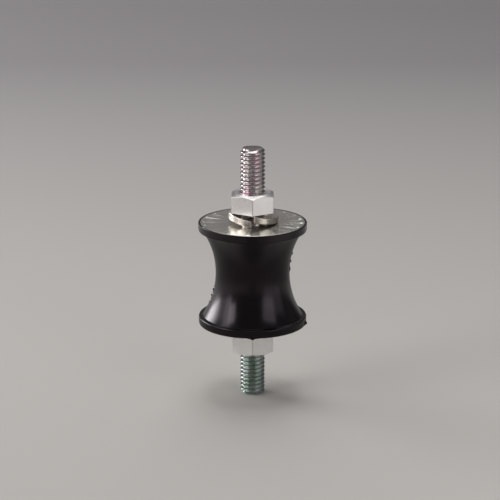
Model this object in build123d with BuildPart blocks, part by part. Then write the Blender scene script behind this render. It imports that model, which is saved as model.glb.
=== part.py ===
from build123d import *
import math
import os

# Bobbin vibration mount, male-male type: a waisted rubber bobbin moulded round two steel
# end plates, each with an M6 stud, a spring washer and a nut.
# Millimetres. The origin is the centre of the lower stud's end face, and +Z runs up the
# stud axis. -Y is the front.

# ---- Rubber bobbin ----
body_height = 25.0          # from one seat face to the other
rubber_skin = 0.4           # rubber round the edge of each end plate
rim_cover = 0.3             # rubber over the inner face of each end plate, at the rim
rim_ledge = 0.9             # radial step from the waist's flared end to the rim
waist_dia = 17.6            # at mid-height
rim_edge_radius = 0.25
flare_root_radius = 0.3     # in the corner between the waist and the rim

# ---- Steel end plates ----
plate_dia = 25.0
plate_thickness = 1.6

# ---- M6 studs ----
stud_length = 18.0          # from the seat face
thread_crest_dia = 5.9
thread_depth = 0.55         # from the crests to the pitch line, across the diameter
stud_tip_chamfer = 0.6
stud_head_dia = 12.0        # round head, welded behind the plate
stud_head_height = 2.0
stud_hole_clearance = 0.05  # radial, in the plate

# ---- M6 nuts ----
nut_across_flats = 9.9
nut_height = 4.65
nut_corner_radius = 0.3
nut_chamfer_angle = 30.0
nut_chamfer_inset = 0.3     # from the flats to the chamfer's circle, radial
nut_countersink_inset = 0.4 # from the thread's crests to the countersink's mouth, radial
nut_countersink_angle = 120.0
thread_clearance = 0.03     # radial, between nut and stud at the pitch line

# ---- M6 spring washers ----
washer_width = 2.7          # radial
washer_thickness = 1.5
washer_corner_radius = 0.2
washer_play = 0.35          # radial, round the stud
washer_side_clearance = 0.23  # on the side where the washer has slid up to the stud
washer_gap = 0.6            # between the cut ends, along the mean circle
washer_rise = 1.25          # from the low end's middle line to the high end's
washer_tilt = 9.15          # degrees, about the line through the gap
washer_cut_angle = 22.0     # degrees by which its ends lean from square
washer_gap_direction = {"upper": -95.0, "lower": 90.0}  # degrees from the seat's x: both front

# ---- Worked out from the above ----
rim_dia = plate_dia + 2 * rubber_skin
rim_height = plate_thickness + rim_cover
flare_dia = rim_dia - 2 * rim_ledge
middle_z = stud_length + body_height / 2
thread_pitch_dia = thread_crest_dia - thread_depth
washer_inner_dia = thread_crest_dia + 2 * washer_play
washer_mean_radius = (washer_inner_dia + washer_width) / 2
washer_offset = washer_play - washer_side_clearance

# Each seat plane lies on an end plate's outer face and looks out along its own stud.
seats = {
    "upper": Plane(origin=(0, 0, stud_length + body_height)),
    "lower": Plane(origin=(0, 0, stud_length), x_dir=(1, 0, 0), z_dir=(0, 0, -1)),
}

os.makedirs("parts", exist_ok=True)


def outward(seat):
    """The direction along which what stands on a seat is sorted, from plate to stud tip."""
    return Axis(seat.origin, seat.z_dir)


# ---- Rubber body ----
# One moulding, turned about the stud axis. The plates and stud heads fill its two end
# pockets, and the waist is one round arc from rim to rim.
rim_top = body_height / 2
pocket_floor = rim_top - plate_thickness
head_pocket_floor = pocket_floor - stud_head_height
rim_foot = rim_top - rim_height

with BuildPart() as rubber_body:
    with BuildSketch(Plane(origin=(0, 0, middle_z), x_dir=(1, 0, 0), z_dir=(0, -1, 0))):
        with BuildLine():
            upper_end = Polyline(
                (0, head_pocket_floor),
                (stud_head_dia / 2, head_pocket_floor),
                (stud_head_dia / 2, pocket_floor),
                (plate_dia / 2, pocket_floor),
                (plate_dia / 2, rim_top),
                (rim_dia / 2, rim_top),
                (rim_dia / 2, rim_foot),
                (flare_dia / 2, rim_foot),
            )
            lower_end = mirror(upper_end, about=Plane.XZ)
            ThreePointArc(
                (flare_dia / 2, rim_foot), (waist_dia / 2, 0), (flare_dia / 2, -rim_foot)
            )
            Line((0, -head_pocket_floor), (0, head_pocket_floor))
        make_face()
    revolve(axis=Axis.Z)
    rings = rubber_body.edges().filter_by(GeomType.CIRCLE)
    fillet(rings.filter_by(lambda ring: ring.radius > (plate_dia + rim_dia) / 4), rim_edge_radius)
    rings = rubber_body.edges().filter_by(GeomType.CIRCLE)
    flare_rings = rings.filter_by(
        lambda ring: abs(ring.radius - flare_dia / 2) < rubber_skin / 4
        and abs(abs(ring.center().Z - middle_z) - rim_foot) < rim_cover / 4
    )
    fillet(flare_rings, flare_root_radius)

rubber_body.part.label = "rubber_body"
export_step(rubber_body.part, "parts/rubber_body.step")


# ---- End plates ----
for end, seat in seats.items():
    with BuildPart() as plate:
        with BuildSketch(seat):
            Circle(plate_dia / 2)
            Circle(thread_crest_dia / 2 + stud_hole_clearance, mode=Mode.SUBTRACT)
        extrude(amount=-plate_thickness)
    plate.part.label = f"{end}_end_plate"
    export_step(plate.part, f"parts/{plate.part.label}.step")


# ---- Spring washers ----
# A rectangular bar wound one turn on a left-hand helix, as on every spring washer for a
# right-hand thread, with both ends cut at one slant. It lies tilted between plate and nut,
# and bears on each at two places: on the plate at its low end and about a quarter turn from
# its high end, on the nut the other way round. Each washer has slid sideways on its stud.
gap_angle = math.degrees(washer_gap / washer_mean_radius)
turns = 1 - gap_angle / 360

with BuildPart() as coil:
    with BuildLine() as bar:
        Helix(washer_rise / turns, washer_rise, washer_mean_radius, lefthand=True)
    start = bar.line @ 0
    cut = Plane(origin=start, x_dir=start, z_dir=bar.line % 0).rotated((washer_cut_angle, 0, 0))
    with BuildSketch(cut):
        RectangleRounded(
            washer_width,
            washer_thickness / math.cos(math.radians(washer_cut_angle)),
            washer_corner_radius,
        )
    sweep(path=bar.line, is_frenet=True)

with BuildPart() as resting_coil:
    with Locations(Location((0, 0, 0), (-washer_tilt, 0, -gap_angle / 2))):
        add(coil.part)
resting_box = resting_coil.part.bounding_box()
washer_height = resting_box.size.Z

for end, seat in seats.items():
    lying = Plane(
        origin=seat.from_local_coords((washer_offset, 0, -resting_box.min.Z)),
        x_dir=seat.x_dir,
        z_dir=seat.z_dir,
    ).rotated((0, 0, washer_gap_direction[end]))
    with BuildPart() as washer:
        with Locations(lying.location):
            add(resting_coil.part)
    washer.part.label = f"{end}_spring_washer"
    export_step(washer.part, f"parts/{washer.part.label}.step")


# ---- Studs ----
# The thread is drawn plain: at its crests where it stands free, and at the pitch line,
# where two meshing threads share the room, along the stretch that the nut holds.
for end, seat in seats.items():
    with BuildPart() as stud:
        with BuildSketch(seat.offset(-plate_thickness - stud_head_height)):
            Circle(stud_head_dia / 2)
        extrude(amount=stud_head_height)
        with BuildSketch(seat.offset(-plate_thickness)):
            Circle(thread_crest_dia / 2)
        extrude(amount=plate_thickness + stud_length)
        tip = stud.edges().sort_by(outward(seat))[-1]
        chamfer(tip, stud_tip_chamfer)
        with BuildSketch(seat.offset(washer_height)):
            Circle(thread_crest_dia / 2)
            Circle(thread_pitch_dia / 2, mode=Mode.SUBTRACT)
        extrude(amount=nut_height, mode=Mode.SUBTRACT)
    stud.part.label = f"{end}_stud"
    export_step(stud.part, f"parts/{stud.part.label}.step")


# ---- Nuts ----
# A hexagon with two flats to the sides and a corner to the front. Its outer end is turned
# to a 30 degree cone, which leaves the chamfer's six arcs, and its bearing face is flat.
nut_corner_reach = nut_across_flats / math.sqrt(3)
chamfer_circle_radius = nut_across_flats / 2 - nut_chamfer_inset
chamfer_drop = (nut_corner_reach - chamfer_circle_radius) * math.tan(
    math.radians(nut_chamfer_angle)
)
nut_bore_radius = thread_pitch_dia / 2 + thread_clearance
countersink_radius = thread_crest_dia / 2 + nut_countersink_inset

for end, seat in seats.items():
    bearing_face = seat.offset(washer_height)
    outer_face = bearing_face.offset(nut_height)
    with BuildPart() as nut:
        with BuildSketch(bearing_face) as hexagon:
            RegularPolygon(nut_across_flats / 2, 6, major_radius=False, rotation=30)
            fillet(hexagon.vertices(), nut_corner_radius)
        extrude(amount=nut_height)
        with BuildSketch(Plane(origin=outer_face.origin, x_dir=(1, 0, 0), z_dir=(0, -1, 0))):
            into = -seat.z_dir.Z
            Polygon(
                (chamfer_circle_radius, 0),
                (nut_corner_reach, 0),
                (nut_corner_reach, into * chamfer_drop),
                align=None,
            )
        revolve(axis=Axis.Z, mode=Mode.SUBTRACT)
        with Locations(outer_face.location, (-bearing_face).location):
            CounterSinkHole(
                nut_bore_radius,
                countersink_radius,
                depth=nut_height,
                counter_sink_angle=nut_countersink_angle,
            )
    nut.part.label = f"{end}_nut"
    export_step(nut.part, f"parts/{nut.part.label}.step")
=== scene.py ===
import logging
import math
from abc import ABC, abstractmethod
from collections.abc import Mapping
from dataclasses import dataclass
from enum import Enum
from typing import ClassVar

import bmesh
import bpy
import numpy as np
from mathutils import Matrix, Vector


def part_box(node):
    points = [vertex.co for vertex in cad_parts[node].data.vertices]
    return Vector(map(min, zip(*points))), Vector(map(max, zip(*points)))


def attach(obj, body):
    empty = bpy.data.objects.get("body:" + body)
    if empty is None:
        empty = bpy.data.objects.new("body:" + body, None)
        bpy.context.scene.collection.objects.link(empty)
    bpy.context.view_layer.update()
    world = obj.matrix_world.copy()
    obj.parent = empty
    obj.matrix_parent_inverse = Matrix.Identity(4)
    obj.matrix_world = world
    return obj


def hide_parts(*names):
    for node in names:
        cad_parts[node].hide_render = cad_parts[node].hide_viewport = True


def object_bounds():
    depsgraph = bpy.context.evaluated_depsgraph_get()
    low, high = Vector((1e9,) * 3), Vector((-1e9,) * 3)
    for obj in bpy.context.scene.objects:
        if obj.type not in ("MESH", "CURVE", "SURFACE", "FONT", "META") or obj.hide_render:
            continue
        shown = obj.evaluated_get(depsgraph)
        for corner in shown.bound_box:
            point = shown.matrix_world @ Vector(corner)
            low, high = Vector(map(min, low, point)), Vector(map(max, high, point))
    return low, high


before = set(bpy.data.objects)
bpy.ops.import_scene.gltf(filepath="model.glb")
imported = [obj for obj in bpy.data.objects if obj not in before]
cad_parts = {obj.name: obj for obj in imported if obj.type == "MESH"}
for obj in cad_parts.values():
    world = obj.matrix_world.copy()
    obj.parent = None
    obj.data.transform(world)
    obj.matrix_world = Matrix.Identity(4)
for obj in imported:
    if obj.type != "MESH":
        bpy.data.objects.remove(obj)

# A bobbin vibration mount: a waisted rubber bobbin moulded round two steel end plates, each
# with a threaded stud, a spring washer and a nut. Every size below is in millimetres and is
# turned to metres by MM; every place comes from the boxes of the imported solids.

log = logging.getLogger("bobbin_mount")

CAD_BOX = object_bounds()
MM = 0.001
MERGE_DISTANCE = 1e-4 * MM
SHARP_ANGLE = math.radians(38.0)
FULL_TURN = 2 * math.pi
ARC_HOLD = 0.15             # how far past an arc its holding points lie, in its radii
STEPS_PER_DEGREE = 20       # of the running sum that crowds a piece's columns

Socket = bpy.types.NodeSocket
Node = bpy.types.Node
Stops = tuple[tuple[float, str], ...]       # places from 0 to 1, and their sRGB hex colours


class End(Enum):
    """The two ends of the mount."""

    UPPER = "upper"
    LOWER = "lower"


class Kind(Enum):
    """The pieces that each end has, by the last words of their names."""

    PLATE = "end_plate"
    STUD = "stud"
    WASHER = "spring_washer"
    NUT = "nut"


# ---------------------------------------------------------------- surfaces


def rounded_profile(corners: np.ndarray, radii: list[float], steps: int = 5) -> np.ndarray:
    """Rounds the corners of an open profile.

    A corner with a radius gives way to an arc that touches both of its runs. The arc is the
    rational quadratic curve through its start, the corner and its end, whose middle weight
    is the sine of half the angle between the runs, which makes it circular. One more point
    each side of it holds the shading of the flat runs.

    Args:
        corners: (n, ..., 2) radius and height, with any axes between, such as one for the
            angle round the axis.
        radii: one radius for each corner, 0 for a corner that stays sharp.
        steps: spans in each arc.

    Returns:
        (m, ..., 2) the rounded profile.
    """
    rows = []
    for index, radius in enumerate(radii):
        corner = corners[index]
        if not radius:
            rows.append(corner[None])
            continue
        back = corners[index - 1] - corner
        ahead = corners[index + 1] - corner
        back = back / np.linalg.norm(back, axis=-1, keepdims=True)
        ahead = ahead / np.linalg.norm(ahead, axis=-1, keepdims=True)
        cosine = (back * ahead).sum(axis=-1, keepdims=True)
        weight = np.sqrt((1 - cosine) / 2)
        reach = radius * np.sqrt((1 + cosine) / (1 - cosine))
        t = np.linspace(0, 1, steps + 1).reshape(-1, *[1] * corner.ndim)
        start, end = corner + reach * back, corner + reach * ahead
        pull = 2 * t * (1 - t) * weight
        arc = ((1 - t) ** 2 * start + pull * corner + t ** 2 * end) / (
            (1 - t) ** 2 + pull + t ** 2
        )
        hold = ARC_HOLD * radius
        rows += [(start + hold * back)[None], arc, (end + hold * ahead)[None]]
    return np.concatenate(rows)


def turned(points: np.ndarray, angle: float, axis: int) -> np.ndarray:
    """Turns points about a coordinate axis, by the right-hand rule.

    Args:
        points: (..., 3) points.
        angle: how far, in radians.
        axis: the axis, x, y and z counted from 0.

    Returns:
        (..., 3) the turned points.
    """
    one, two = (axis + 1) % 3, (axis + 2) % 3
    result = points.copy()
    result[..., one] = points[..., one] * math.cos(angle) - points[..., two] * math.sin(angle)
    result[..., two] = points[..., one] * math.sin(angle) + points[..., two] * math.cos(angle)
    return result


def subdivided(start: float, end: float, spans: int) -> np.ndarray:
    """The inner points of a run cut into equal spans, without its two ends."""
    return np.linspace(start, end, spans + 1)[1:-1]


def lathe(profile: np.ndarray, angles: np.ndarray) -> np.ndarray:
    """Turns a profile about the z axis.

    x is radius times cosine of the angle, y is radius times sine, z is the height.

    Args:
        profile: (rows, 2), or (rows, columns, 2) where it changes with the angle.
        angles: (columns,) the angles, from 0 to a full turn, both included.

    Returns:
        (rows, columns, 3) points.
    """
    if profile.ndim == 2:
        profile = profile[:, None, :]
    radius, height = profile[..., 0], profile[..., 1] + 0 * angles
    return np.stack([radius * np.cos(angles), radius * np.sin(angles), height], axis=-1)


def crowded_angles(
    count: int, centres: tuple[float, ...], crowding: float, spread: float
) -> np.ndarray:
    """Angles over a full turn that lie closer together near the named ones.

    The density is 1 plus, at each centre, a bell of the given height and width, and the
    angles split its running sum evenly.

    Args:
        count: how many spans the turn is cut into.
        centres: the directions, in degrees, where detail is.
        crowding: how many times closer the angles lie there, less one.
        spread: the bell's half width, in degrees.

    Returns:
        (count + 1,) angles in radians, from 0 to a full turn.
    """
    fine = np.linspace(0, 360, 360 * STEPS_PER_DEGREE + 1)
    away = (fine[:, None] - np.array(centres) + 180) % 360 - 180
    density = 1 + crowding * np.exp(-((away / spread) ** 2)).sum(axis=1)
    share = np.concatenate([[0], np.cumsum((density[1:] + density[:-1]) / 2)])
    return np.radians(np.interp(np.linspace(0, share[-1], count + 1), share, fine))


def skin(name: str, *grids: np.ndarray) -> bpy.types.Object:
    """Makes one closed mesh from grids of points that meet along their borders.

    Each grid's neighbouring rows and columns are joined by quads, coincident points are
    merged, which closes seams and poles, and the faces are then turned outwards.

    Args:
        name: the piece's name.
        *grids: (rows, columns, 3) points in the row frame.

    Returns:
        The object, in the scene.
    """
    faces, offset = [], 0
    for grid in grids:
        index = np.arange(grid.shape[0] * grid.shape[1]).reshape(grid.shape[:2]) + offset
        quads = [index[:-1, :-1], index[1:, :-1], index[1:, 1:], index[:-1, 1:]]
        faces.append(np.stack(quads, axis=-1).reshape(-1, 4))
        offset += index.size
    points = np.concatenate([grid.reshape(-1, 3) for grid in grids])
    mesh = bpy.data.meshes.new(name)
    mesh.from_pydata(points.tolist(), [], np.concatenate(faces).tolist())
    work = bmesh.new()
    work.from_mesh(mesh)
    bmesh.ops.remove_doubles(work, verts=work.verts, dist=MERGE_DISTANCE)
    bmesh.ops.recalc_face_normals(work, faces=work.faces)
    work.to_mesh(mesh)
    work.free()
    mesh.validate()
    mesh.shade_smooth()
    mesh.set_sharp_from_angle(angle=SHARP_ANGLE)
    piece = bpy.data.objects.new(name, mesh)
    bpy.context.scene.collection.objects.link(piece)
    return piece


# ---------------------------------------------------------------- finishes


def colour(code: str) -> tuple[float, float, float, float]:
    """Turns an sRGB hex colour to linear light, by the sRGB curve and its straight foot.

    Args:
        code: the colour, such as "#a0a0a0".

    Returns:
        Red, green, blue and an alpha of 1.
    """
    parts = np.array([int(code[i:i + 2], 16) for i in (1, 3, 5)]) / 255
    linear = np.where(parts <= 0.04045, parts / 12.92, ((parts + 0.055) / 1.055) ** 2.4)
    return (*map(float, linear), 1.0)


def add(
    tree: bpy.types.NodeTree,
    kind: str,
    inputs: Mapping[str | int, object] | None = None,
    stops: Stops = (),
    **settings: object,
) -> Node:
    """Adds a node, sets its properties, fills its inputs and lays its colour stops.

    Args:
        tree: the material's node tree.
        kind: the node's type without its "ShaderNode".
        inputs: for an input's name or number, the socket that feeds it or its value.
        stops: a colour ramp's stops.
        **settings: the node's own properties, such as operation="ADD".

    Returns:
        The node.
    """
    node = tree.nodes.new("ShaderNode" + kind)
    for name, value in settings.items():
        setattr(node, name, value)
    for name, value in (inputs or {}).items():
        if isinstance(value, Socket):
            tree.links.new(value, node.inputs[name])
        else:
            node.inputs[name].default_value = value
    if stops:
        elements = node.color_ramp.elements
        for place, _ in stops[len(elements):]:
            elements.new(place)
        for element, (place, code) in zip(elements, stops):
            element.position = place
            element.color = colour(code)
    return node


@dataclass(frozen=True)
class Finish(ABC):
    """A surface: what it is made of, and how the light meets it."""

    title: str
    roughness: float
    metallic: float = 0.0
    ior: float = 1.5

    def material(self) -> bpy.types.Material:
        """Builds the material: a Principled BSDF, dressed.

        Returns:
            The material.
        """
        material = bpy.data.materials.new(self.title)
        material.use_nodes = True
        tree = material.node_tree
        tree.nodes.clear()
        shader = add(
            tree,
            "BsdfPrincipled",
            {"Metallic": self.metallic, "Roughness": self.roughness, "IOR": self.ior},
        )
        self.dress(tree, shader)
        add(tree, "OutputMaterial", {"Surface": shader.outputs[0]})
        return material

    @abstractmethod
    def dress(self, tree: bpy.types.NodeTree, shader: Node) -> None:
        """Feeds the shader's colour, roughness and normal.

        Args:
            tree: the material's node tree.
            shader: the Principled BSDF that it ends in.
        """


class Pattern(Enum):
    """The two patterns of a grained finish."""

    PATCHES = "patches"
    GRAIN = "grain"


@dataclass(frozen=True)
class GrainedFinish(Finish):
    """A surface tinted in soft patches, with a fine grain in relief, polished and dull by turns."""

    tints: Stops = ()
    patch_mm: float = 3.0
    patch_detail: float = 2.0
    patch_roughness: float = 0.5
    grain_mm: float = 0.3
    grain_detail: float = 4.0
    grain_depth_mm: float = 0.004
    gloss_follows: Pattern = Pattern.GRAIN
    pattern_low: float = 0.3        # between these, the pattern runs from polished to dull
    pattern_high: float = 0.7
    polished: float = 0.04          # what the roughness loses where it is polished
    dulled: float = 0.06            # and what it gains where it is dull

    def dress(self, tree: bpy.types.NodeTree, shader: Node) -> None:
        """Tints the surface by its patches, and gives it gloss and grain.

        Args:
            tree: the material's node tree.
            shader: the Principled BSDF that it ends in.
        """
        place = add(tree, "TexCoord").outputs["Object"]
        patterns = {
            Pattern.PATCHES: {
                "Scale": 1 / (self.patch_mm * MM),
                "Detail": self.patch_detail,
                "Roughness": self.patch_roughness,
            },
            Pattern.GRAIN: {"Scale": 1 / (self.grain_mm * MM), "Detail": self.grain_detail},
        }
        heights = {
            pattern: add(tree, "TexNoise", {"Vector": place, **inputs}).outputs["Fac"]
            for pattern, inputs in patterns.items()
        }
        tint = add(tree, "ValToRGB", {0: heights[Pattern.PATCHES]}, stops=self.tints)
        gloss = add(
            tree,
            "MapRange",
            {
                "Value": heights[self.gloss_follows],
                "From Min": self.pattern_low,
                "From Max": self.pattern_high,
                "To Min": self.roughness - self.polished,
                "To Max": self.roughness + self.dulled,
            },
        )
        relief = add(
            tree,
            "Bump",
            {"Distance": self.grain_depth_mm * MM, "Height": heights[Pattern.GRAIN]},
        )
        tree.links.new(tint.outputs["Color"], shader.inputs["Base Color"])
        tree.links.new(gloss.outputs["Result"], shader.inputs["Roughness"])
        tree.links.new(relief.outputs["Normal"], shader.inputs["Normal"])


@dataclass(frozen=True)
class MouldedRubber(GrainedFinish):
    """Natural rubber filled with carbon black, pressed in a steel mould.

    The mould's satin face gives soft but bright glints, with a fine grain in them, and a thin
    bloom that has come to the surface greys and dulls it in soft patches. The grain is drawn
    coarser than the mould's own, of about 0.03 mm, to show.
    """

    title: str = "moulded_black_rubber"
    roughness: float = 0.2
    ior: float = 1.52
    tints: Stops = ((0.3, "#060204"), (0.75, "#0c0609"))
    patch_mm: float = 6.0
    patch_detail: float = 5.0
    patch_roughness: float = 0.6
    grain_mm: float = 0.25
    grain_detail: float = 3.0
    gloss_follows: Pattern = Pattern.PATCHES
    pattern_high: float = 0.75
    polished: float = 0.03
    dulled: float = 0.09
    specular: float = 0.37
    specular_tint: str = "#fdeefb"

    def dress(self, tree: bpy.types.NodeTree, shader: Node) -> None:
        """Dresses the rubber as a grained finish, and tints and weakens its glints.

        Args:
            tree: the material's node tree.
            shader: the Principled BSDF that it ends in.
        """
        super().dress(tree, shader)
        shader.inputs["Specular IOR Level"].default_value = self.specular
        shader.inputs["Specular Tint"].default_value = colour(self.specular_tint)


@dataclass(frozen=True)
class ZincPlating(GrainedFinish):
    """Bright zinc plated on steel and passivated.

    The plating is a soft mirror with a fine grain, and the passivation's film, thinner than a
    wavelength, tints it in faint patches whose hue follows the film's thickness. The grain is
    drawn coarser than the plating's own, which is finer than 0.01 mm, to show.
    """

    title: str = "zinc_plating"
    roughness: float = 0.25
    metallic: float = 1.0
    tints: Stops = ((0.3, "#d8d8d6"), (0.7, "#e2e3e0"))


# Cold-rolled steel sheet, blanked and plated: the brightest mirror, faintly yellow.
PLATED_SHEET = ZincPlating(
    title="zinc_plated_sheet",
    roughness=0.22,
    tints=((0.3, "#e8e7de"), (0.7, "#f0efe8")),
)
# Spring steel bar, coiled, cut and plated: satin and a little warmer.
PLATED_SPRING_STEEL = ZincPlating(
    title="zinc_plated_spring_steel",
    roughness=0.28,
    tints=((0.3, "#d4cbc3"), (0.7, "#dfd7cf")),
)
# Rolled steel threads, burnished by the rolling dies: a sharp, smooth mirror. Their films are of
# two thicknesses, so the upper one looks pink and the lower one green.
PLATED_THREADS = {
    End.UPPER: ZincPlating(
        title="zinc_plated_upper_thread",
        roughness=0.14,
        tints=((0.3, "#e4c6ce"), (0.5, "#d6ced2"), (0.7, "#e0dcd8")),
        grain_depth_mm=0.0015,
    ),
    End.LOWER: ZincPlating(
        title="zinc_plated_lower_thread",
        roughness=0.14,
        tints=((0.3, "#a2b4a8"), (0.5, "#b6c2bc"), (0.7, "#c4c6cc")),
        grain_depth_mm=0.0015,
    ),
}
# Cold-formed steel nuts, tumbled and plated: satin and nearly white. The lower one's whiter tints are
# painted light.
PLATED_NUTS = {
    End.UPPER: ZincPlating(
        title="zinc_plated_upper_nut",
        roughness=0.31,
        tints=((0.3, "#ece9e8"), (0.7, "#f4f2f0")),
    ),
    End.LOWER: ZincPlating(
        title="zinc_plated_lower_nut_painted_light",
        roughness=0.31,
        # painted light: these tints are lighter than the upper nut's only to brighten the lower nut
        tints=((0.3, "#f8f6f4"), (0.7, "#fffefc")),
    ),
}


@dataclass(frozen=True)
class PaintedShade:
    """A round painted shade on the paper, which only reflections see."""

    forward_mm: float       # of its middle along y
    radius_mm: float
    stops: Stops            # how strong the painted shade is, black to white, from its middle out


@dataclass(frozen=True)
class BackdropPaper(Finish):
    """Matt grey background paper, laid flat and swept up behind."""

    title: str = "backdrop_paper"
    roughness: float = 0.9
    ior: float = 1.45
    specular: float = 0.2
    # painted shade: from near_mm to far_mm the paper's tints darken it towards the back, standing in for
    # the light falling off there
    near_mm: float = 40.0
    far_mm: float = 420.0
    tints: Stops = ((0.0, "#c6c2be"), (1.0, "#989496"))
    # painted shades: dark places mixed into the paper's colour, which only reflections see
    shades: tuple[PaintedShade, ...] = (
        PaintedShade(
            0.0, 150.0, ((0.22, "#000000"), (0.33, "#b8b8b8"), (0.75, "#b8b8b8"), (0.95, "#000000"))
        ),
        PaintedShade(-195.0, 60.0, ((0.4, "#ffffff"), (1.0, "#000000"))),
        PaintedShade(-30.0, 26.0, ((0.4, "#cccccc"), (1.0, "#000000"))),
    )
    # the colour that the painted shades mix the paper towards
    painted_shade_colour: str = "#101012"

    def dress(self, tree: bpy.types.NodeTree, shader: Node) -> None:
        """Darkens the paper evenly to the back, a painted shade for the light's falloff, and by its
        painted shades, which only reflections see.

        A painted half shade lies in a ring round the mount, darkest in a spot in front of its foot, and a
        painted dark spot lies farther forward: polished metal shows them as dark lines down its middle.

        Args:
            tree: the material's node tree.
            shader: the Principled BSDF that it ends in.
        """
        place = add(tree, "TexCoord").outputs["Object"]
        # painted shade for the light's falloff: the paper's colour darkens along y towards the back
        back = add(
            tree,
            "MapRange",
            {
                "Value": add(tree, "SeparateXYZ", {0: place}).outputs["Y"],
                "From Min": self.near_mm * MM,
                "From Max": self.far_mm * MM,
            },
        )
        paper = add(tree, "ValToRGB", {0: back.outputs["Result"]}, stops=self.tints)
        # painted shade: the strongest of the shades at each point, shown to glossy rays only
        deepest_painted_shade: Socket | float = 0.0
        for shade in self.shades:
            middle = (0.0, shade.forward_mm * MM, 0.0)
            away = add(tree, "VectorMath", {0: place, 1: middle}, operation="DISTANCE")
            share = add(
                tree,
                "MapRange",
                {"Value": away.outputs["Value"], "From Max": shade.radius_mm * MM},
            )
            depth = add(tree, "ValToRGB", {0: share.outputs["Result"]}, stops=shade.stops)
            deepest_painted_shade = add(
                tree, "Math", {0: deepest_painted_shade, 1: depth.outputs["Color"]}, operation="MAXIMUM"
            ).outputs[0]
        reflected = add(tree, "LightPath").outputs["Is Glossy Ray"]
        dark = add(tree, "Math", {0: deepest_painted_shade, 1: reflected}, operation="MULTIPLY")
        mixed = add(
            tree,
            "Mix",
            {0: dark.outputs[0], 6: paper.outputs["Color"], 7: colour(self.painted_shade_colour)},
            data_type="RGBA",
        )
        tree.links.new(mixed.outputs[2], shader.inputs["Base Color"])
        shader.inputs["Specular IOR Level"].default_value = self.specular


# ---------------------------------------------------------------- the mount's pieces


@dataclass(frozen=True)
class Seat:
    """The outer face of one end plate, with the frame that its end's pieces are built in.

    In that frame z runs out along the stud and x is the row's own. The lower seat's frame is
    the upper one's turned half round about x, so a right-hand thread stays right-handed.
    """

    GAP_DIRECTIONS: ClassVar[dict[End, float]] = {
        End.UPPER: math.radians(-92.0), End.LOWER: math.radians(90.0)
    }
    THREAD_LEADS: ClassVar[dict[End, float]] = {End.UPPER: 0.55 * MM, End.LOWER: 0.43 * MM}

    end: End
    height: float
    way: float              # 1 where the stud points up, -1 where it points down
    gap_direction: float    # of its spring washer's gap, from x
    thread_lead: float      # height of a thread crest on the x axis

    @classmethod
    def of(cls, end: End) -> "Seat":
        """Finds an end's seat from the box of its end plate.

        Args:
            end: the end.

        Returns:
            Its seat.
        """
        low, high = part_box(f"{end.value}_{Kind.PLATE.value}")
        height, way = (high.z, 1.0) if end is End.UPPER else (low.z, -1.0)
        return cls(end, height, way, cls.GAP_DIRECTIONS[end], cls.THREAD_LEADS[end])

    def node(self, kind: Kind) -> str:
        """The name of this end's CAD node of a kind."""
        return f"{self.end.value}_{kind.value}"

    def span(self, kind: Kind) -> tuple[float, float]:
        """Finds where a CAD node starts and ends along the stud.

        Args:
            kind: the node's kind.

        Returns:
            Both heights, counted outwards from the seat.
        """
        low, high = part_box(self.node(kind))
        near, far = sorted(self.way * (z - self.height) for z in (low.z, high.z))
        return near, far

    def width(self, kind: Kind) -> float:
        """A CAD node's width along x."""
        low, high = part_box(self.node(kind))
        return high.x - low.x

    def place(self, points: np.ndarray) -> np.ndarray:
        """Moves points from the seat's frame to the row's: y and z turn together, then rise."""
        return points * (1.0, self.way, self.way) + (0.0, 0.0, self.height)


@dataclass(frozen=True)
class MetricThread:
    """A right-hand M6 thread: 60 degree flanks with rounded crests and roots."""

    pitch: float = 1.0 * MM
    crest_radius: float = 2.95 * MM
    depth: float = 0.6 * MM
    flank_angle: float = math.radians(30.0)     # from the radius, half the angle of the tooth
    crest_width: float = 0.16 * MM
    crest_rounding: float = 0.16 * MM
    root_rounding: float = 0.06 * MM
    run_out: float = 0.6 * MM                   # over which the thread fades in at the plate

    def one_pitch(self) -> np.ndarray:
        """Draws the tooth form from crest to crest: two flanks with rounded crests and root.

        Returns:
            (rows, 2) depth below the crest, and height.
        """
        crest = self.crest_width / 2
        flank = self.depth * math.tan(self.flank_angle)
        corners = np.array([
            (0, 0),
            (0, crest),
            (self.depth, crest + flank),
            (self.depth, self.pitch - crest - flank),
            (0, self.pitch - crest),
            (0, self.pitch),
        ])
        crest_rounding, root_rounding = self.crest_rounding, self.root_rounding
        radii = [0, crest_rounding, root_rounding, root_rounding, crest_rounding, 0]
        return rounded_profile(corners, radii)[:-1]

    def surface(
        self, angles: np.ndarray, lead: float, start: float, end: float
    ) -> tuple[np.ndarray, np.ndarray]:
        """Winds the tooth form up between two heights.

        The rows follow the helix: each point's height is its height in the tooth form plus a
        pitch for each full turn, and heights beyond the two ends are drawn back to them.

        Args:
            angles: (columns,) angles, from 0 to a full turn.
            lead: the height of a crest at angle 0.
            start: the lowest height.
            end: the highest height.

        Returns:
            (rows, columns) depths below the crest, and the heights.
        """
        form = self.one_pitch()
        first, last = math.floor(start / self.pitch) - 2, math.ceil(end / self.pitch) + 1
        turns = np.arange(first, last + 1) * self.pitch + lead
        depth = np.tile(form[:, 0], turns.size)[:, None] + 0 * angles
        height = (turns[:, None] + form[:, 1]).reshape(-1, 1) + self.pitch * angles / FULL_TURN
        return depth, np.clip(height, start, end)


@dataclass(frozen=True)
class Flash:
    """A bit of rubber left standing by the mould: a bell-shaped lump, all in millimetres."""

    direction: float        # degrees from x
    level: float            # above the body's middle
    out: float
    half_width: float
    half_height: float
    up: float = 0.0


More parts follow.
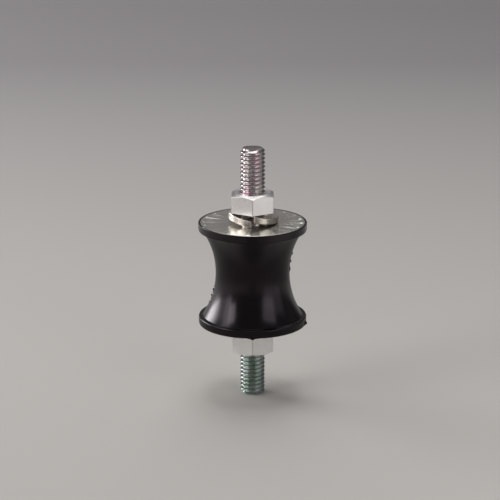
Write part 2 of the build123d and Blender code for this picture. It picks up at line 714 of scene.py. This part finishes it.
@dataclass(frozen=True)
class RubberBobbin:
    """The rubber body: two rims round the end plates, and a waist turned on one arc."""

    middle: float
    rim_radius: float
    half_height: float
    plate_radius: float
    plate_thickness: float
    head_radius: float
    head_height: float
    waist_radius: float = 8.8 * MM
    rim_cover: float = 0.3 * MM     # rubber between the plate's inner face and the rim's end
    rim_ledge: float = 0.9 * MM     # radial step from the flare's end to the rim
    rim_rounding: float = 0.25 * MM
    lip_outer_rounding: float = 0.125 * MM
    lip_inner_rounding: float = 0.0625 * MM
    flare_rounding: float = 0.3 * MM
    rim_spans: int = 6
    waist_spans: int = 120
    columns: int = 300
    crowded_at: tuple[float, ...] = (0.0, 180.0, 270.0, 348.0, 360.0)   # twice on the right
    crowding: float = 7.0
    crowd_spread: float = 4.0
    seam_height: float = 0.05 * MM
    seam_width: float = 0.22 * MM
    flash: tuple[Flash, ...] = (
        Flash(180, -4.2, 0.28, 0.30, 0.45),
        Flash(180, -5.6, 0.34, 0.30, 0.35),
        Flash(180, -7.1, 0.22, 0.30, 0.40),
        Flash(0, 4.6, 0.25, 0.30, 0.35),
        Flash(0, 2.7, 0.30, 0.30, 0.28),
        Flash(0, 0.8, 0.24, 0.30, 0.50),
        Flash(-12, -12.0, 0.55, 0.40, 0.40),
        Flash(270, -12.4, 0.20, 0.35, 0.30, up=-0.35),
    )

    @classmethod
    def from_frame(cls) -> "RubberBobbin":
        """Takes the body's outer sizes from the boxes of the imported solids.

        Returns:
            The body.
        """
        low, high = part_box("rubber_body")
        seat = Seat.of(End.UPPER)
        plate_near, plate_far = seat.span(Kind.PLATE)
        return cls(
            middle=(low.z + high.z) / 2,
            rim_radius=(high.x - low.x) / 2,
            half_height=(high.z - low.z) / 2,
            plate_radius=seat.width(Kind.PLATE) / 2,
            plate_thickness=plate_far - plate_near,
            head_radius=seat.width(Kind.STUD) / 2,
            head_height=plate_near - seat.span(Kind.STUD)[0],
        )

    def half_profile(self) -> np.ndarray:
        """Draws the upper half's profile: pockets for the stud's head and the plate, and the rim.

        Returns:
            (rows, 2) radius and height, from the axis round the rim to the flare's end.
        """
        pocket = self.half_height - self.plate_thickness
        head_pocket = pocket - self.head_height
        rim_foot = pocket - self.rim_cover
        flare = self.rim_radius - self.rim_ledge
        side = subdivided(self.half_height, rim_foot, self.rim_spans)
        corners = np.array([
            (0, head_pocket),
            (self.head_radius, head_pocket),
            (self.head_radius, pocket),
            (self.plate_radius, pocket),
            (self.plate_radius, self.half_height),
            (self.rim_radius, self.half_height),
            *((self.rim_radius, height) for height in side),
            (self.rim_radius, rim_foot),
            (flare, rim_foot),
            self.waist(np.array([rim_foot - 2 * self.flare_rounding]))[0],
        ])
        lip = [self.lip_inner_rounding, self.lip_outer_rounding]
        foot = [self.rim_rounding, self.flare_rounding]
        return rounded_profile(corners, [0, 0, 0, 0, *lip, *[0] * len(side), *foot, 0])

    def waist(self, height: np.ndarray) -> np.ndarray:
        """Draws the waist's arc.

        The circle's radius follows from its rise, the flare's end less the waist's radius, and
        its half chord, and the body's radius there is the waist's plus what the circle leaves.

        Args:
            height: (rows,) heights from the middle.

        Returns:
            (rows, 2) radius and height.
        """
        half_chord = self.half_height - self.plate_thickness - self.rim_cover
        rise = self.rim_radius - self.rim_ledge - self.waist_radius
        arc_radius = (half_chord ** 2 + rise ** 2) / (2 * rise)
        radius = self.waist_radius + arc_radius - np.sqrt(arc_radius ** 2 - height ** 2)
        return np.stack([radius, height], axis=-1)

    def swell(self, grid: np.ndarray, angles: np.ndarray) -> np.ndarray:
        """Works out how far the seam and the flash move the turned form's outer surface.

        The seam is a low ridge, bell-shaped across, down both sides at the ends of the x axis.
        Each bit of flash is a bell round the body and up it. The pockets stay as turned: they
        lie nearer the axis than the waist or, in the rims, than the plates' edges.

        Args:
            grid: (rows, columns, 3) the turned form, its middle at height 0.
            angles: (columns,) directions.

        Returns:
            (rows, columns, 2) lengths along the radius and upwards.
        """
        height = grid[..., 2]
        across = self.waist_radius * np.abs(np.sin(angles)) / self.seam_width
        total = np.zeros((*height.shape, 2))
        total[..., 0] = self.seam_height * np.exp(-(across ** 2))
        for bit in self.flash:
            turn = (angles - math.radians(bit.direction) + math.pi) % FULL_TURN - math.pi
            aside = self.waist_radius * turn / (bit.half_width * MM)
            above = (height - bit.level * MM) / (bit.half_height * MM)
            bell = np.exp(-(aside ** 2) - above ** 2)
            total += bell[..., None] * (bit.out * MM, bit.up * MM)
        in_rim = np.abs(height) > self.half_height - self.plate_thickness - self.rim_cover
        inner = np.where(
            in_rim, self.plate_radius + MERGE_DISTANCE, self.waist_radius - MERGE_DISTANCE
        )
        return total * (np.linalg.norm(grid[..., :2], axis=-1) > inner)[..., None]

    def build(self, finish: bpy.types.Material) -> bpy.types.Object:
        """Builds the body as one closed turned form, moves it by its swell and dresses it.

        Args:
            finish: its material.

        Returns:
            The piece.
        """
        angles = crowded_angles(self.columns, self.crowded_at, self.crowding, self.crowd_spread)
        upper = self.half_profile()
        lower = upper[::-1] * (1, -1)
        heights = subdivided(upper[-1, 1], lower[0, 1], self.waist_spans)
        grid = lathe(np.concatenate([upper, self.waist(heights), lower]), angles)
        swell = self.swell(grid, angles)
        grid[..., 0] += swell[..., 0] * np.cos(angles)
        grid[..., 1] += swell[..., 0] * np.sin(angles)
        grid[..., 2] += swell[..., 1] + self.middle
        piece = skin("moulded_bobbin", grid)
        piece.data.materials.append(finish)
        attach(piece, "root")
        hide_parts("rubber_body")
        return piece


@dataclass(frozen=True)
class EndPiece(ABC):
    """A plated steel piece of one end of the mount, made in the frame of its seat."""

    kind: ClassVar[Kind]
    slot: ClassVar[str]

    seat: Seat
    finish: bpy.types.Material

    @abstractmethod
    def grids(self) -> list[np.ndarray]:
        """Works out the piece's whole surface.

        Returns:
            Grids of (rows, columns, 3) points, in the seat's frame.
        """

    def build(self) -> bpy.types.Object:
        """Builds the piece, dresses it, hangs it on the root body and hides the CAD node that it stands
        for.

        Returns:
            The piece.
        """
        name = f"{self.seat.end.value}_plated_{self.kind.value}"
        piece = skin(name, *map(self.seat.place, self.grids()))
        piece.data.materials.append(self.finish)
        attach(piece, "root")
        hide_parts(self.seat.node(self.kind))
        return piece


@dataclass(frozen=True)
class EndPlate(EndPiece):
    """A pierced disc, with tooth marks in a ring and fine radial lines in its outer face."""

    kind: ClassVar[Kind] = Kind.PLATE
    slot: ClassVar[str] = "zinc_plate"

    columns: int = 720
    face_spans: int = 48
    rounding: float = 0.15 * MM
    hole_radius: float = 3.0 * MM
    random_seed: int = 7
    marks: int = 20
    first_mark: float = math.radians(-4.5)
    marks_aside: float = -0.6 * MM          # of their ring's middle along y
    mark_start: float = 11.4 * MM
    mark_start_range: float = 0.3 * MM
    mark_end: float = 12.2 * MM
    mark_fade: float = 0.2 * MM
    mark_depth: float = 0.09 * MM
    mark_width: float = 0.11 * MM
    weakest_mark: float = 0.4
    burr_height: float = 0.5                # in mark depths
    burr_aside: float = 1.6                 # in mark widths
    line_depth: float = 0.035 * MM
    line_columns: int = 5                   # over which the random heights are evened
    line_start: float = 6.0 * MM
    line_fade: float = 4.0 * MM
    ripple_depth: float = 0.035 * MM
    edge_fade: float = 0.4 * MM

    def marked(self, grid: np.ndarray) -> np.ndarray:
        """Works out the height of the tooth marks and the radial lines over the face.

        A mark is a bell across, sunk, with a lower bell on each side where the metal has gone,
        and it fades at both ends along its ring's radius. The lines have a fixed random height
        for each direction, plus a ripple that follows the marks, and fade in outwards.

        Args:
            grid: (rows, columns, 3) points of the plate.

        Returns:
            (rows, columns) heights.
        """
        random = np.random.default_rng(self.random_seed)
        step = FULL_TURN / self.marks
        back = grid[..., 1] - self.marks_aside
        ring = np.hypot(grid[..., 0], back)
        turn = np.arctan2(back, grid[..., 0]) - self.first_mark
        mark = np.round(turn / step).astype(int) % self.marks
        across = ((turn + step / 2) % step - step / 2) * ring / self.mark_width
        strength = random.uniform(self.weakest_mark, 1.0, self.marks)[mark]
        spread = self.mark_start_range
        start = self.mark_start + random.uniform(-spread, spread, self.marks)[mark]
        inwards, outwards = (ring - start) / self.mark_fade, (self.mark_end - ring) / self.mark_fade
        length = np.clip(inwards, 0, 1) * np.clip(outwards, 0, 1)
        burr = self.burr_height * np.exp(-((np.abs(across) - self.burr_aside) ** 2))
        nicks = strength * length * (burr - np.exp(-(across ** 2)))
        lines = random.normal(0, 1, self.columns)
        lines = sum(np.roll(lines, shift) for shift in range(self.line_columns))
        lines = self.line_depth * np.append(lines, lines[0]) / self.line_columns
        lines = lines + self.ripple_depth * np.cos(self.marks * turn)
        reach = np.linalg.norm(grid[..., :2], axis=-1)
        return self.mark_depth * nicks + lines * np.clip(
            (reach - self.line_start) / self.line_fade, 0, 1
        )

    def grids(self) -> list[np.ndarray]:
        """Turns the disc from its outline, and sinks the marks into its outer face.

        The marks fade out towards the disc's rounded edge.

        Returns:
            One closed grid.
        """
        radius = self.seat.width(Kind.PLATE) / 2
        near, far = self.seat.span(Kind.PLATE)
        corners = np.array([
            (self.hole_radius, far),
            (radius, far),
            (radius, near),
            (self.hole_radius, near),
            (self.hole_radius, far),
        ])
        flat_end = radius - 2 * self.rounding
        outline = rounded_profile(corners, [0, self.rounding, self.rounding, 0, 0], steps=4)
        face = np.stack([subdivided(self.hole_radius, flat_end, self.face_spans)] * 2, axis=-1)
        face[:, 1] = far
        profile = np.concatenate([outline[:1], face, outline[1:]])
        grid = lathe(profile, np.linspace(0, FULL_TURN, self.columns + 1))
        top = grid[..., 2] > far - MERGE_DISTANCE
        fade = np.clip((flat_end - np.linalg.norm(grid[..., :2], axis=-1)) / self.edge_fade, 0, 1)
        grid[..., 2] += np.where(top, fade * self.marked(grid), 0)
        return [grid]


@dataclass(frozen=True)
class ThreadedStud(EndPiece):
    """A weld stud: its round head, the shank in the plate, the thread and the tip."""

    kind: ClassVar[Kind] = Kind.STUD
    slot: ClassVar[str] = "zinc_stud"

    thread: MetricThread = MetricThread()
    columns: int = 96
    tip_radius: float = 2.35 * MM
    tip_spans: int = 8
    cup: float = 0.12 * MM              # how far the end face is hollow
    cup_power: int = 4
    head_rounding: float = 0.4 * MM

    def grids(self) -> list[np.ndarray]:
        """Turns the head, the thread and the end face.

        The thread's radius is the crest's less the tooth's depth, which fades to nothing at
        the plate, and never more than the tip's cone of 45 degrees. The end face sinks by the
        cup's depth times one less a power of the share of the tip's radius.

        Returns:
            The head's grid with the shank's, the thread's and the end face's.
        """
        foot, tip = self.seat.span(Kind.STUD)
        under_plate = self.seat.span(Kind.PLATE)[0]
        head_radius = self.seat.width(Kind.STUD) / 2
        angles = np.linspace(0, FULL_TURN, self.columns + 1)
        crest = self.thread.crest_radius
        corners = np.array([
            (0, foot), (head_radius, foot), (head_radius, under_plate), (crest, under_plate), (crest, 0)
        ])
        head = rounded_profile(corners, [0, self.head_rounding, 0, 0, 0])
        depth, height = self.thread.surface(angles, self.seat.thread_lead, 0.0, tip)
        cut = crest - depth * np.clip(height / self.thread.run_out, 0, 1)
        cone = self.tip_radius + (tip - height)
        thread = np.stack([np.minimum(cut, cone), height], axis=-1)
        share = np.linspace(1, 0, self.tip_spans + 1)
        hollow = self.cup * (1 - share ** self.cup_power)
        end = np.stack([self.tip_radius * share, tip - hollow], axis=-1)
        return [lathe(rows, angles) for rows in (head, thread, end)]


@dataclass(frozen=True)
class HexNut(EndPiece):
    """A hexagon nut with a turned chamfer at its outer end, threaded to match its stud."""

    kind: ClassVar[Kind] = Kind.NUT
    slot: ClassVar[str] = "zinc_nut"

    thread: MetricThread = MetricThread()
    columns: int = 210
    crowding: float = 5.0
    crowd_spread: float = 3.0
    corner_rounding: float = 0.3 * MM
    chamfer_inset: float = 0.6 * MM
    chamfer_angle: float = math.radians(28.0)
    edge_rounding: float = 0.08 * MM
    mouth_radius: float = 3.35 * MM
    countersink_angle: float = math.radians(60.0)   # from the axis
    thread_gap: float = 0.03 * MM

    def outline(self, angles: np.ndarray, apothem: float) -> np.ndarray:
        """Draws a hexagon with round corners, by its radius in each direction.

        Along a flat it is the apothem over the cosine of the angle from the flat's middle.
        Round a corner it is the far side of the rounding's circle.

        Args:
            angles: (columns,) directions.
            apothem: half the width across the flats.

        Returns:
            (columns,) radii.
        """
        sector = FULL_TURN / 6
        from_flat = (angles + sector / 2) % sector - sector / 2
        from_corner = sector / 2 - np.abs(from_flat)
        rounding = self.corner_rounding
        centre = (apothem - rounding) / math.cos(sector / 2)
        side = rounding ** 2 - (centre * np.sin(from_corner)) ** 2
        corner = centre * np.cos(from_corner) + np.sqrt(np.maximum(side, 0))
        flat = apothem / np.cos(from_flat)
        touching = (apothem - rounding) * math.tan(sector / 2) / apothem
        return np.where(np.abs(np.tan(from_flat)) < touching, flat, corner)

    def grids(self) -> list[np.ndarray]:
        """Works out the outside and the threaded bore.

        The chamfer's edge drops by the tangent of its angle for what the hexagon's outline
        stands out of the chamfer's circle. The bore is the stud's own thread plus a small gap
        and never narrower than the countersinks, whose cones open at 120 degrees.

        Returns:
            The outside's grid and the bore's, which meet at both mouths.
        """
        near, far = self.seat.span(Kind.NUT)
        apothem = self.seat.width(Kind.NUT) / 2
        corners_at = tuple(float(degrees) for degrees in range(30, 360, 60))
        angles = crowded_angles(self.columns, corners_at, self.crowding, self.crowd_spread)
        outline = self.outline(angles, apothem)
        ring = np.ones_like(angles)
        chamfer = apothem - self.chamfer_inset
        edge = far - (outline - chamfer) * math.tan(self.chamfer_angle)
        rows = [
            (self.mouth_radius * ring, near * ring),
            (outline, near * ring),
            (outline, edge),
            (chamfer * ring, far * ring),
            (self.mouth_radius * ring, far * ring),
        ]
        corners = np.stack([np.stack(row, axis=-1) for row in rows])
        shell = rounded_profile(corners, [0, *[self.edge_rounding] * 3, 0], steps=3)
        depth, height = self.thread.surface(angles, self.seat.thread_lead, near, far)
        bore = self.thread.crest_radius + self.thread_gap - depth
        to_face = np.minimum(height - near, far - height)
        cone = self.mouth_radius - to_face * math.tan(self.countersink_angle)
        inside = np.stack([np.maximum(bore, cone), height], axis=-1)
        return [lathe(shell, angles), lathe(inside, angles)]


@dataclass(frozen=True)
class SpringWasher(EndPiece):
    """A bar wound one left-hand turn, sprung open and tilted between plate and nut."""

    kind: ClassVar[Kind] = Kind.WASHER
    slot: ClassVar[str] = "zinc_washer"

    mean_radius: float = 4.65 * MM
    width: float = 2.7 * MM
    thickness: float = 1.5 * MM
    rounding: float = 0.2 * MM
    gap: float = 0.4 * MM
    rise: float = 1.25 * MM
    tilt: float = math.radians(-9.15)
    cut_angle: float = math.radians(10.0)
    aside: float = 0.12 * MM
    spans: int = 219
    end_shares: tuple[float, ...] = (0.0, 0.0, 0.001, 0.003, 0.006)     # of the bar's length
    end_sizes: tuple[float, ...] = (0.0, 0.94, 0.98)                    # of the section there

    def grids(self) -> list[np.ndarray]:
        """Carries the bar's section along its middle line.

        The middle line is a helix round the z axis with its gap towards x. The section, a
        rectangle with round corners, leans along the bar by the cut's angle, so that both ends
        are cut at a slant, and at each end it shrinks to round the edge and closes. The coil
        is then tilted about the x axis, turned until its gap faces the right way, slid aside
        on the stud and lowered until it touches the plate.

        Returns:
            One grid, closed at both ends.
        """
        turn = FULL_TURN - self.gap / self.mean_radius
        ends = np.array(self.end_shares)
        inner = subdivided(ends[-1], 1 - ends[-1], self.spans)
        share = np.concatenate([ends, inner, 1 - ends[::-1]])
        size = np.ones_like(share)
        size[:len(self.end_sizes)] = size[:-len(self.end_sizes) - 1:-1] = self.end_sizes
        angle = (turn - FULL_TURN) / 2 - share * turn
        radial = np.stack([np.cos(angle), np.sin(angle), 0 * angle], axis=-1)
        slope = self.rise / turn / self.mean_radius
        along = np.stack([np.sin(angle), -np.cos(angle), slope + 0 * angle], axis=-1)
        along /= math.hypot(1, slope)
        across = np.cross(along, radial) + math.tan(self.cut_angle) * along
        half_width, half_height = self.width / 2, self.thickness / 2
        corners = np.array([
            (half_width, 0),
            (half_width, half_height),
            (-half_width, half_height),
            (-half_width, -half_height),
            (half_width, -half_height),
            (half_width, 0),
        ])
        section = rounded_profile(corners, [0, *[self.rounding] * 4, 0], steps=4)
        outwards, upwards = (size[:, None, None] * part[:, None] for part in section.T)
        middle = self.mean_radius * radial
        middle[:, 2] = self.rise * share
        coil = middle[:, None] + outwards * radial[:, None] + upwards * across[:, None]
        coil = turned(turned(coil, self.tilt, axis=0), self.seat.gap_direction, axis=2)
        return [coil + (self.aside, 0.0, self.seat.span(Kind.WASHER)[0] - coil[..., 2].min())]


# ---------------------------------------------------------------- the studio


@dataclass(frozen=True)
class Softbox:
    """A square lamp behind white cloth, or a white card, aimed at the mount."""

    title: str
    azimuth: float       # degrees from the front, the right counted positive
    elevation: float     # degrees above the floor
    width: float
    height: float
    glow: float          # how bright its cloth looks, 1 being white
    distance: float = 0.9

    def hang(self, target: np.ndarray) -> None:
        """Places the lamp; its power is its glow times pi times its area.

        Args:
            target: the point that it is aimed at.
        """
        turn, rise = math.radians(self.azimuth), math.radians(self.elevation)
        away = np.array([
            math.sin(turn) * math.cos(rise), -math.cos(turn) * math.cos(rise), math.sin(rise)
        ])
        lamp = bpy.data.lights.new(self.title, "AREA")
        lamp.shape = "RECTANGLE"
        lamp.size, lamp.size_y = self.width, self.height
        lamp.energy = self.glow * math.pi * self.width * self.height
        holder = bpy.data.objects.new(self.title, lamp)
        holder.location = target + away * self.distance
        holder.rotation_euler = (math.pi / 2 - rise, 0.0, turn)
        bpy.context.scene.collection.objects.link(holder)


@dataclass(frozen=True)
class Studio:
    """The floor and backdrop, the lamps and the camera, in metres and degrees."""

    floor_half_width: float = 1.6
    floor_front: float = -1.2
    sweep_start: float = 0.55
    sweep_radius: float = 0.5
    sweep_spans: int = 24
    sweep_top: float = 1.3
    world_glow: float = 0.14
    lens_mm: float = 140.45
    sensor_mm: float = 36.0
    camera_place: tuple[float, float, float] = (-0.00062, -0.44625, 0.16834)
    camera_down: float = 16.524
    camera_reach: tuple[float, float] = (0.01, 10.0)
    lamps: tuple[Softbox, ...] = (
        Softbox("left_softbox", -121.0, 8.5, 0.33, 0.27, 6.0),
        Softbox("left_softbox_rim", -120.0, 12.0, 0.55, 0.36, 4.7),
        Softbox("left_side_softbox", -98.0, 12.0, 0.50, 0.36, 0.9),
        Softbox("left_front_softbox", -72.0, 19.0, 0.30, 0.57, 2.2),
        Softbox("left_front_strip", -58.0, 21.5, 0.26, 0.38, 3.3),
        Softbox("right_front_softbox", 45.0, 18.0, 0.50, 0.52, 1.15),
        Softbox("left_top_softbox", -95.0, 53.0, 0.40, 0.40, 1.2),
        Softbox("back_top_softbox", 180.0, 55.0, 0.60, 0.60, 1.5),
        Softbox("overhead_softbox", 180.0, 86.0, 0.36, 0.36, 4.6),
        Softbox("right_bounce_card", 60.0, 2.0, 0.12, 0.055, 0.45, distance=0.12),
    )

    def floor(self) -> None:
        """Makes the paper: a flat floor, a quarter circle behind it, and an upright wall."""
        bend = np.linspace(0, math.pi / 2, self.sweep_spans + 1)
        wall = self.sweep_start + self.sweep_radius
        depth = np.array([self.floor_front, *(self.sweep_start + self.sweep_radius * np.sin(bend)), wall])
        rise = np.array([0.0, *(self.sweep_radius * (1 - np.cos(bend))), self.sweep_top])
        across = np.linspace(-1, 1, 3) * self.floor_half_width
        grid = np.stack(np.broadcast_arrays(across, depth[:, None], rise[:, None]), axis=-1)
        paper = skin("backdrop_paper", grid)
        paper.data.materials.append(BackdropPaper().material())

    def light(self) -> None:
        """Hangs the lamps and sets the dim white light that fills the room."""
        low, high = CAD_BOX
        for lamp in self.lamps:
            lamp.hang(np.array((low + high) / 2))
        world = bpy.data.worlds.new("room")
        world.use_nodes = True
        background = world.node_tree.nodes["Background"]
        background.inputs["Color"].default_value = colour("#ffffff")
        background.inputs["Strength"].default_value = self.world_glow
        bpy.context.scene.world = world

    def camera(self) -> None:
        """Sets the camera: level across, looking down on the mount from the front."""
        data = bpy.data.cameras.new("camera")
        data.lens, data.sensor_width = self.lens_mm, self.sensor_mm
        data.clip_start, data.clip_end = self.camera_reach
        camera = bpy.data.objects.new("camera", data)
        camera.location = self.camera_place
        camera.rotation_euler = (math.radians(90 - self.camera_down), 0.0, 0.0)
        bpy.context.scene.collection.objects.link(camera)
        bpy.context.scene.camera = camera
        bpy.context.scene.view_settings.view_transform = "Standard"

    def build(self) -> None:
        """Builds the whole studio."""
        self.floor()
        self.light()
        self.camera()


def main() -> None:
    """Builds the mount and the studio."""
    logging.basicConfig(level=logging.INFO)
    body = RubberBobbin.from_frame().build(MouldedRubber().material())
    log.info("built %s: %d faces", body.name, len(body.data.polygons))
    sheet, spring_steel = PLATED_SHEET.material(), PLATED_SPRING_STEEL.material()
    for end in End:
        seat = Seat.of(end)
        for piece in (
            EndPlate(seat, sheet),
            ThreadedStud(seat, PLATED_THREADS[end].material()),
            SpringWasher(seat, spring_steel),
            HexNut(seat, PLATED_NUTS[end].material()),
        ):
            built = piece.build()
            log.info("built %s: %d faces", built.name, len(built.data.polygons))
    Studio().build()


if __name__ == "__main__":
    main()
